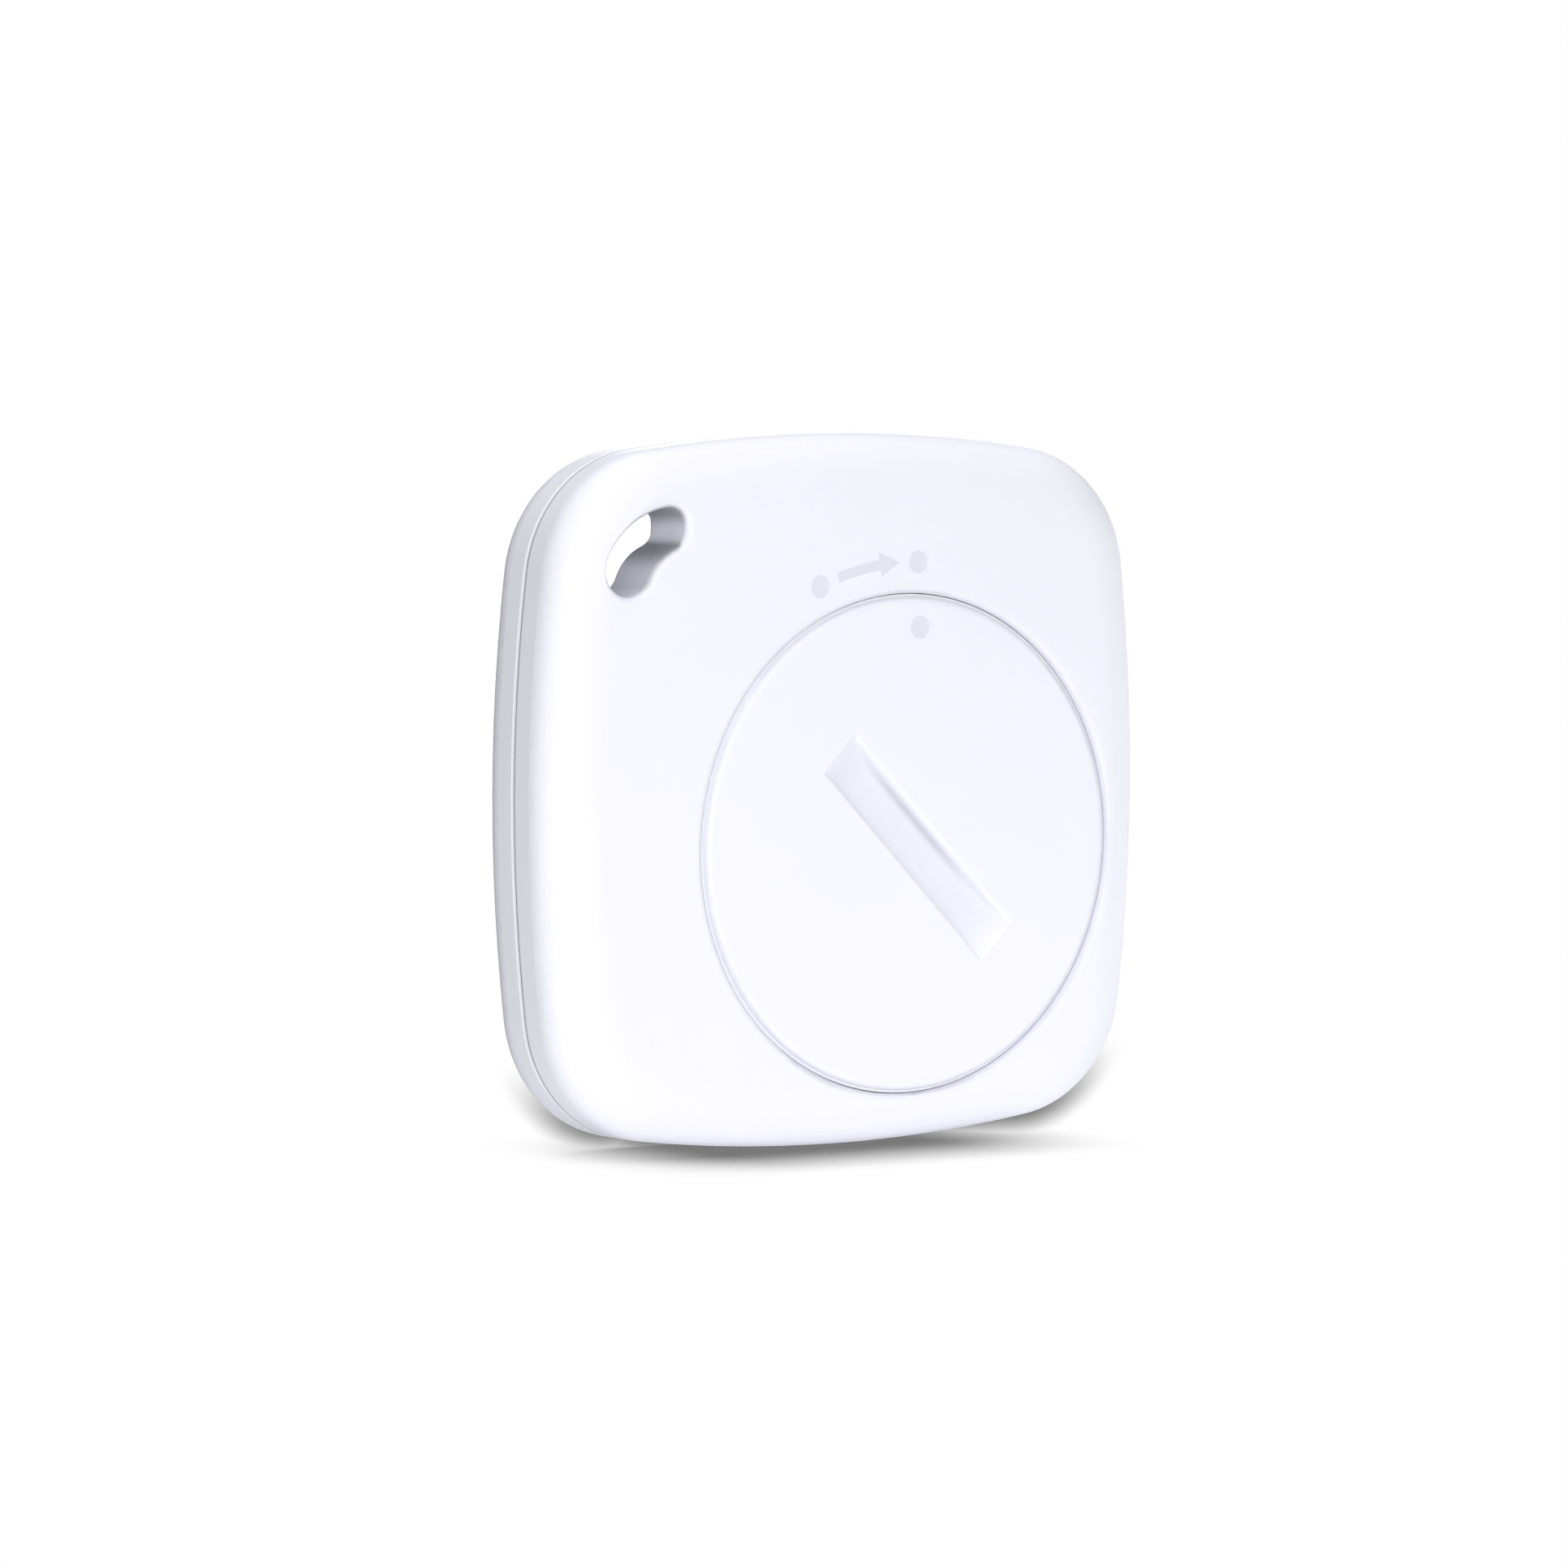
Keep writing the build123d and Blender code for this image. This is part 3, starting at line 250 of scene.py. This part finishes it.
def cover_dot(finish):
    """1 on the floor of the cover's dot, 0 elsewhere."""
    away = finish.length(finish.axis(0) - COVER_DOT[0], finish.axis(2) - COVER_DOT[1])
    return finish.step(finish.depth(), *MARK_DEPTH) * (1.0 - finish.step(away, *COVER_DOT_EDGE))


def lip(edge, side):
    """Relief, in metres, of a soft edge that drops towards the gap round the cover."""
    def relief(finish):
        away = (from_cover_middle(finish) - edge) * (side / LIP_WIDTH)
        level = away.math("MAXIMUM", away, 0.0)
        short = 1.0 - level.math("MINIMUM", level, 1.0)
        rear = 1.0 - finish.step(finish.depth(), *LIP_DEPTH)
        return short * short * rear * -LIP_DROP
    return relief


def shell_marks(finish):
    """1 on the floors of the dots and the arrow beside the cover, 0 elsewhere."""
    shallow = finish.band(finish.depth(), MARK_DEPTH, MARK_BACK)
    ring = finish.band(from_cover_middle(finish), MARK_START, MARK_END)
    return shallow * ring * finish.step(finish.axis(2), *MARK_FLOOR)


def hole_wall_shade(finish):
    """1 on the wall of the key ring hole, 0 on its rim and elsewhere: where shade is painted, with a
    coarser grain.
    """
    along, square = along_and_square(finish, HOLE_MIDDLE, HOLE_TILT)
    away = finish.length(along / HOLE_REACH[0], square / HOLE_REACH[1])
    return finish.step(finish.depth(), *HOLE_DEPTH) * (1.0 - finish.step(away, *HOLE_EDGE))


def hole_top_shade(finish):
    """1 on the wall of the hole's upper end, fading to 0 at its lower end: where more shade is painted."""
    along = along_and_square(finish, HOLE_MIDDLE, HOLE_TILT)[0]
    return hole_wall_shade(finish) * finish.step(along, *HOLE_TOP)


def parting_line_shade(finish):
    """1 on the rounded edge of the rear shell along the parting line, 0 elsewhere: where the shade of the
    gap is painted.
    """
    return finish.band(finish.depth(), *PARTING_EDGE)


def parting_rim_shade(finish):
    """1 on the edge of the front shell along the parting line, 0 elsewhere: where painted shade dims its
    highlight.
    """
    return finish.band(finish.depth(), *PARTING_RIM)


def moulded_plastic(name, colour, roughness, grain=0.09 * MM, recesses=(), relief=None):
    """Moulded plastic: spark-eroded grain, faint clouding, and coarser grain and darker colour in the
    listed places, partly painted shade.
    """
    finish = new_finish(name)
    fine = finish.noise(grain, detail=3.0, roughness=0.6)
    flow = finish.noise(6.0 * MM, detail=2.0)
    shade = finish.blend(flow, rgba(colour, 0.98), rgba(colour))
    height = fine
    if recesses:
        coarse = finish.noise(RECESS_GRAIN, detail=2.0, roughness=0.6)
        for recess, level in recesses:
            mask = recess(finish)
            shade = finish.blend(mask * (0.5 + coarse), shade, finish.tint(shade, level))
            height = height + mask * coarse * RECESS_HEIGHT
    if relief:
        height = height + relief(finish) * (1.0 / GRAIN_HEIGHT)
    return finish.surface(finish.node("ShaderNodeBsdfPrincipled", None, {
        "Base Color": shade,
        "Roughness": roughness - 0.03 + flow * 0.04 + fine * 0.03,
        "Normal": finish.bump(height, GRAIN_HEIGHT),
        "IOR": 1.49,
    }))


def sheet_metal(name, colour, roughness, stretch, streak=0.05 * MM):
    """Rolled or plated metal with streaks along one direction and fine wear."""
    finish = new_finish(name)
    streaks = finish.noise(streak, detail=3.0, stretch=stretch)
    spots = finish.noise(1.2 * MM, detail=3.0)
    shade = finish.blend(spots, rgba(colour, 0.88), rgba(colour))
    return finish.surface(finish.node("ShaderNodeBsdfPrincipled", None, {
        "Base Color": shade,
        "Metallic": 1.0,
        "Roughness": roughness + streaks * 0.14 + spots * 0.06,
        "Normal": finish.bump(streaks, 0.001 * MM),
    }))


def speckled(name, dark, light, size, roughness, height=0.002 * MM):
    """Fired or pressed material with grains of two tones."""
    finish = new_finish(name)
    grains = finish.noise(size, detail=4.0, roughness=0.7)
    return finish.surface(finish.node("ShaderNodeBsdfPrincipled", None, {
        "Base Color": finish.blend(grains, rgba(dark), rgba(light)),
        "Roughness": roughness + grains * 0.12,
        "Normal": finish.bump(grains, height),
    }))


def rubber(name, colour, roughness):
    """Soft rubber or film with a dusty bloom."""
    finish = new_finish(name)
    bloom = finish.noise(0.8 * MM, detail=4.0)
    return finish.surface(finish.node("ShaderNodeBsdfPrincipled", None, {
        "Base Color": finish.blend(bloom, rgba(colour, 0.8), rgba(colour, 1.25)),
        "Roughness": roughness + bloom * 0.1,
        "Normal": finish.bump(bloom, 0.003 * MM),
    }))


def solder_mask(name):
    """Green lacquer over copper tracks on a glass fibre board."""
    finish = new_finish(name)
    tracks = finish.node("ShaderNodeTexBrick", {"offset": 0.37}, {
        "Vector": finish.node("ShaderNodeMapping", None, {
            "Vector": finish.place(), "Rotation": (math.radians(90), 0, math.radians(45)),
        }),
        "Scale": 1.0 / (1.4 * MM), "Mortar Size": 0.09, "Mortar Smooth": 0.3,
        "Brick Width": 2.2, "Row Height": 0.7,
    }, output="Fac")
    weave = finish.noise(0.5 * MM, detail=2.0)
    mask = finish.blend(weave, (0.022, 0.14, 0.07, 1), (0.03, 0.17, 0.09, 1))
    shade = finish.blend(tracks, mask, (0.05, 0.27, 0.12, 1))
    return finish.surface(finish.node("ShaderNodeBsdfPrincipled", None, {
        "Base Color": shade,
        "Roughness": 0.32 + weave * 0.1,
        "Normal": finish.bump(tracks + weave * 0.1, 0.01 * MM),
    }))


def clear_resin(name, colour, roughness, transmission):
    """Clear or milky resin of the status light."""
    finish = new_finish(name)
    haze = finish.noise(0.4 * MM, detail=3.0)
    return finish.surface(finish.node("ShaderNodeBsdfPrincipled", None, {
        "Base Color": finish.blend(haze, rgba(colour, 0.95), rgba(colour)),
        "Roughness": roughness + haze * 0.08,
        "Transmission Weight": transmission,
        "IOR": 1.5,
        "Normal": finish.bump(haze, 0.002 * MM),
    }))


# The finish of each slot: its maker, values and options
FINISHES = {
    "shell_plastic": (moulded_plastic, (SHELL_WHITE, 0.52), {
        "recesses": (
            (shell_marks, MARK_LEVEL), (hole_wall_shade, HOLE_SHADE_LEVEL), (hole_top_shade, HOLE_TOP_SHADE_LEVEL),
            (parting_line_shade, PARTING_SHADE_LEVEL), (parting_rim_shade, PARTING_RIM_SHADE_LEVEL),
        ),
        "relief": lip(OPENING_EDGE, 1.0),
    }),
    "cover_plastic": (moulded_plastic, (SHELL_WHITE, 0.52), {
        "recesses": ((cover_slot, SLOT_LEVEL), (slot_shade, SLOT_SHADE_LEVEL), (cover_dot, MARK_LEVEL)),
        "relief": lip(COVER_EDGE, -1.0),
    }),
    "button_plastic": (moulded_plastic, (BUTTON_WHITE, 0.40), {"grain": 0.06 * MM}),
    "seal_rubber": (rubber, ((0.03, 0.03, 0.032), 0.62), {}),
    "cell_steel": (sheet_metal, ((0.70, 0.70, 0.71), 0.22, (1, 1, 12)), {}),
    "gasket_plastic": (moulded_plastic, ((0.10, 0.10, 0.11), 0.5), {}),
    "cradle_plastic": (speckled, ((0.04, 0.04, 0.045), (0.07, 0.07, 0.075), 0.2 * MM, 0.5), {}),
    "contact_steel": (sheet_metal, ((0.74, 0.72, 0.66), 0.24, (1, 1, 8)), {}),
    "board_laminate": (solder_mask, (), {}),
    "chip_plastic": (speckled, ((0.022, 0.022, 0.024), (0.04, 0.04, 0.042), 0.06 * MM, 0.5), {}),
    "crystal_metal": (sheet_metal, ((0.76, 0.75, 0.70), 0.2, (10, 1, 1)), {}),
    "antenna_ceramic": (speckled, ((0.70, 0.69, 0.65), (0.78, 0.77, 0.73), 0.1 * MM, 0.3), {}),
    "inductor_ferrite": (speckled, ((0.06, 0.06, 0.065), (0.12, 0.12, 0.13), 0.1 * MM, 0.55), {}),
    "capacitor_ceramic": (speckled, ((0.37, 0.27, 0.17), (0.46, 0.34, 0.22), 0.08 * MM, 0.35), {}),
    "resistor_coat": (speckled, ((0.03, 0.03, 0.033), (0.05, 0.05, 0.055), 0.08 * MM, 0.25), {}),
    "pad_gold": (sheet_metal, ((0.83, 0.66, 0.30), 0.25, (1, 1, 1)), {"streak": 0.1 * MM}),
    "switch_plastic": (speckled, ((0.045, 0.045, 0.045), (0.07, 0.07, 0.07), 0.1 * MM, 0.45), {}),
    "plunger_plastic": (moulded_plastic, ((0.55, 0.53, 0.50), 0.45), {}),
    "led_resin": (clear_resin, ((0.90, 0.88, 0.70), 0.2, 0.3), {}),
    "pipe_resin": (clear_resin, ((0.92, 0.93, 0.95), 0.12, 0.75), {}),
    "piezo_brass": (sheet_metal, ((0.76, 0.60, 0.30), 0.26, (1, 1, 10)), {}),
    "piezo_ceramic": (speckled, ((0.62, 0.60, 0.55), (0.72, 0.70, 0.65), 0.15 * MM, 0.35), {}),
    "adhesive_ring": (rubber, ((0.64, 0.63, 0.59), 0.7), {}),
}


def dress_nodes():
    """Give each node of the model the finish of its slot."""
    made = {slot: maker(slot, *values, **options) for slot, (maker, values, options) in FINISHES.items()}
    for row in frame["record"]["subparts"]:
        mesh = frame["nodes"][row["node"]].data
        mesh.materials.clear()
        mesh.materials.append(made[row["material_slot"]])


def cover_shoulder():
    """Shoulder of the cover in the gap round it, which keeps dust out."""
    bpy.ops.object.select_all(action="DESELECT")
    bpy.ops.mesh.primitive_cylinder_add(
        vertices=192, radius=SHOULDER_RADIUS, depth=SHOULDER_HEIGHT, end_fill_type="NOTHING",
        location=(COVER_MIDDLE[0], REAR_FACE + SHOULDER_START + SHOULDER_HEIGHT / 2, COVER_MIDDLE[1]),
        rotation=(math.radians(90), 0, 0),
    )
    shoulder = bpy.context.object
    shoulder.name = "cover_shoulder"
    bpy.ops.object.transform_apply(location=True, rotation=True, scale=True)
    wall = shoulder.modifiers.new("wall", "SOLIDIFY")
    wall.thickness = SHOULDER_WALL
    wall.offset = -1.0
    bpy.ops.object.modifier_apply(modifier=wall.name)
    bpy.ops.object.shade_smooth_by_angle(angle=math.radians(35))
    shoulder.data.materials.append(bpy.data.materials["cover_plastic"])
    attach(shoulder, "cover")


def seen_white(finish):
    """1 where the camera looks, straight or through a clear piece, and 0 for the light that spreads."""
    straight = finish.node("ShaderNodeLightPath", output="Is Camera Ray")
    through = finish.node("ShaderNodeLightPath", output="Is Transmission Ray")
    return straight.math("MINIMUM", straight + through, 1.0)


# Floor that spreads the light: pale in front of the tag, darker behind it, with a glow near it
FLOOR_PALE = 0.85
FLOOR_BACK_PALE = 0.35
FLOOR_FRONT = (-8 * MM, 24 * MM)
FLOOR_NEAR_GLOW = 0.24
FLOOR_NEAR_REACH = 150 * MM
FLOOR_SIZE = 12.0

# Shadow under the tag, from the share of a leaning sky that each point of the floor sees
SHADOW_REACH = 12 * MM
SHADOW_LEAN = (-0.12, 0.18, 0.968)
SHADOW_RANGE = (0.47, 0.89)
SHADOW_DARK = 0.19
SHADOW_CENTRE = -1.85 * MM
SHADOW_ENDS = (6.3 * MM, 18.1 * MM)

# Painted shadow behind the tag: its lower corners, the depths of its outlines and the place of a low lamp
# in front, which is not in the scene
CORNER_MIDDLE = (12.23 * MM, 8.47 * MM)
CORNER_RADIUS = 7.65 * MM
OUTLINE_PLANES = (2.6 * MM, -2.0 * MM)
LOW_LAMP = (-254 * MM, -353 * MM, 47.4 * MM)
LOW_SHADOW_EDGE = (-0.4 * MM, 1.5 * MM)
LOW_SHADOW_TOP = 5.5 * MM
LOW_SHADOW_DARK = 0.9


def shadow_under(finish):
    """Level of the floor in the soft shadow under the tag, which fades towards its two ends."""
    towards_light = finish.node("ShaderNodeCombineXYZ", None, dict(enumerate(SHADOW_LEAN)))
    open_sky = finish.node("ShaderNodeAmbientOcclusion", {"samples": 16}, {
        "Distance": SHADOW_REACH, "Normal": towards_light,
    }, output="AO")
    shade = finish.node("ShaderNodeMapRange", None, {
        "Value": open_sky, "From Min": SHADOW_RANGE[0], "From Max": SHADOW_RANGE[1], "To Min": SHADOW_DARK,
    })
    reach = finish.axis(0) - SHADOW_CENTRE
    ends = finish.step(reach.math("ABSOLUTE", reach), *SHADOW_ENDS)
    return shade + (1.0 - shade) * ends


def shadow_behind(finish, plane):
    """Level of the floor in a painted soft shadow of the tag's outline, laid as from a low lamp in front of
    it.
    """
    along, across = finish.axis(1), finish.axis(0)
    reach = (along - plane) / (along - LOW_LAMP[1])
    height = reach * LOW_LAMP[2]
    side = across + reach * (LOW_LAMP[0] - across)
    side = side.math("ABSOLUTE", side) - CORNER_MIDDLE[0]
    side = side.math("MAXIMUM", side, 0.0)
    below = CORNER_MIDDLE[1] - height
    below = below.math("MAXIMUM", below, 0.0)
    near = 1.0 - finish.step(finish.length(side, below) - CORNER_RADIUS, *LOW_SHADOW_EDGE)
    low = 1.0 - finish.step(height, 0.0, LOW_SHADOW_TOP)
    return 1.0 - near * low * LOW_SHADOW_DARK


def floor_light(finish):
    """Shader of the floor for the light that spreads."""
    away = finish.node("ShaderNodeVectorMath", {"operation": "LENGTH"}, {0: finish.place()}, output="Value")
    front = 1.0 - finish.step(finish.axis(1), *FLOOR_FRONT)
    glow = (1.0 - finish.step(away, 0.0, FLOOR_NEAR_REACH)) * front * FLOOR_NEAR_GLOW
    tone = front * (FLOOR_PALE - FLOOR_BACK_PALE) + FLOOR_BACK_PALE
    return finish.node("ShaderNodeAddShader", None, {
        0: finish.node("ShaderNodeEmission", None, {"Color": glow}),
        1: finish.node("ShaderNodeBsdfDiffuse", None, {"Color": tone}),
    })


def white_floor():
    """Lit table top that the camera sees as white paper, with the tag's soft shadows painted on it."""
    bpy.ops.object.select_all(action="DESELECT")
    bpy.ops.mesh.primitive_plane_add(size=FLOOR_SIZE, location=(0, 0, 0))
    floor = bpy.context.object
    floor.name = "paper_floor"
    finish = new_finish("white_paper")
    level = shadow_under(finish)
    for plane in OUTLINE_PLANES:
        level = level.math("MINIMUM", level, shadow_behind(finish, plane))
    floor.data.materials.append(finish.surface(finish.node("ShaderNodeMixShader", None, {
        0: seen_white(finish),
        1: floor_light(finish),
        2: finish.node("ShaderNodeEmission", None, {"Color": level}),
    })))


def white_room():
    """Dark room that the camera sees as white paper."""
    world = bpy.data.worlds.new("white_room")
    bpy.context.scene.world = world
    finish = Finish(world)
    finish.node_output("ShaderNodeOutputWorld", finish.node("ShaderNodeMixShader", None, {
        0: seen_white(finish),
        1: finish.node("ShaderNodeBackground", None, {"Color": (0, 0, 0, 1), "Strength": 1.0}),
        2: finish.node("ShaderNodeBackground", None, {"Color": (1, 1, 1, 1), "Strength": 1.0}),
    }))


# Soft lamps far away: name, strength, azimuth (0 faces the cover), elevation and span, in degrees
SUNS = (
    ("key_softbox", 1.06, -33, 10, 30),
    ("front_softbox", 0.40, 0, 10, 50),
    ("top_softbox", 1.9, 0, 85, 100),
)

# Small panels near the tag: name, power, place, the point that it faces and its side, in millimetres
PANELS = (
    ("left_softbox", 0.030, (-100, -100, 30), (-15, 0, 20), 60),
    ("top_panel", 0.09, (0, 0, 200), (0, 0, 0), 200),
    ("right_softbox", 0.006, (60, 5, 20), (20, 0, 20), 40),
    ("back_softbox", 0.60, (200, 260, 60), (0, 0, 20), 160),
)


def lamps():
    """Large soft lamps far away and small panels near the tag."""
    for name, strength, azimuth, elevation, span in SUNS:
        data = bpy.data.lights.new(name, "SUN")
        data.energy = strength
        data.angle = math.radians(span)
        lamp = bpy.data.objects.new(name, data)
        turn, rise = math.radians(azimuth), math.radians(elevation)
        source = Vector((math.sin(turn) * math.cos(rise), -math.cos(turn) * math.cos(rise), math.sin(rise)))
        lamp.rotation_euler = source.to_track_quat("Z", "Y").to_euler()
        lamp.location = source
        bpy.context.scene.collection.objects.link(lamp)
    for name, power, place, aim, side in PANELS:
        data = bpy.data.lights.new(name, "AREA")
        data.energy = power
        data.shape = "SQUARE"
        data.size = side * MM
        lamp = bpy.data.objects.new(name, data)
        lamp.location = Vector(place) * MM
        away = Vector(place) - Vector(aim)
        lamp.rotation_euler = away.to_track_quat("Z", "Y").to_euler()
        lamp.visible_camera = False
        bpy.context.scene.collection.objects.link(lamp)


def camera():
    """Camera at the photograph's place."""
    data = bpy.data.cameras.new("camera")
    data.sensor_fit = "HORIZONTAL"
    data.sensor_width = SENSOR
    data.lens = LENS
    data.clip_start = 0.01
    data.clip_end = 50.0
    seen = bpy.data.objects.new("camera", data)
    seen.location = CAMERA_PLACE
    seen.rotation_euler = Euler([math.radians(turn) for turn in CAMERA_TURN], "XYZ")
    bpy.context.scene.collection.objects.link(seen)
    bpy.context.scene.camera = seen


dress_nodes()
cover_shoulder()
white_floor()
white_room()
lamps()
camera()
bpy.context.scene.view_settings.view_transform = "Standard"
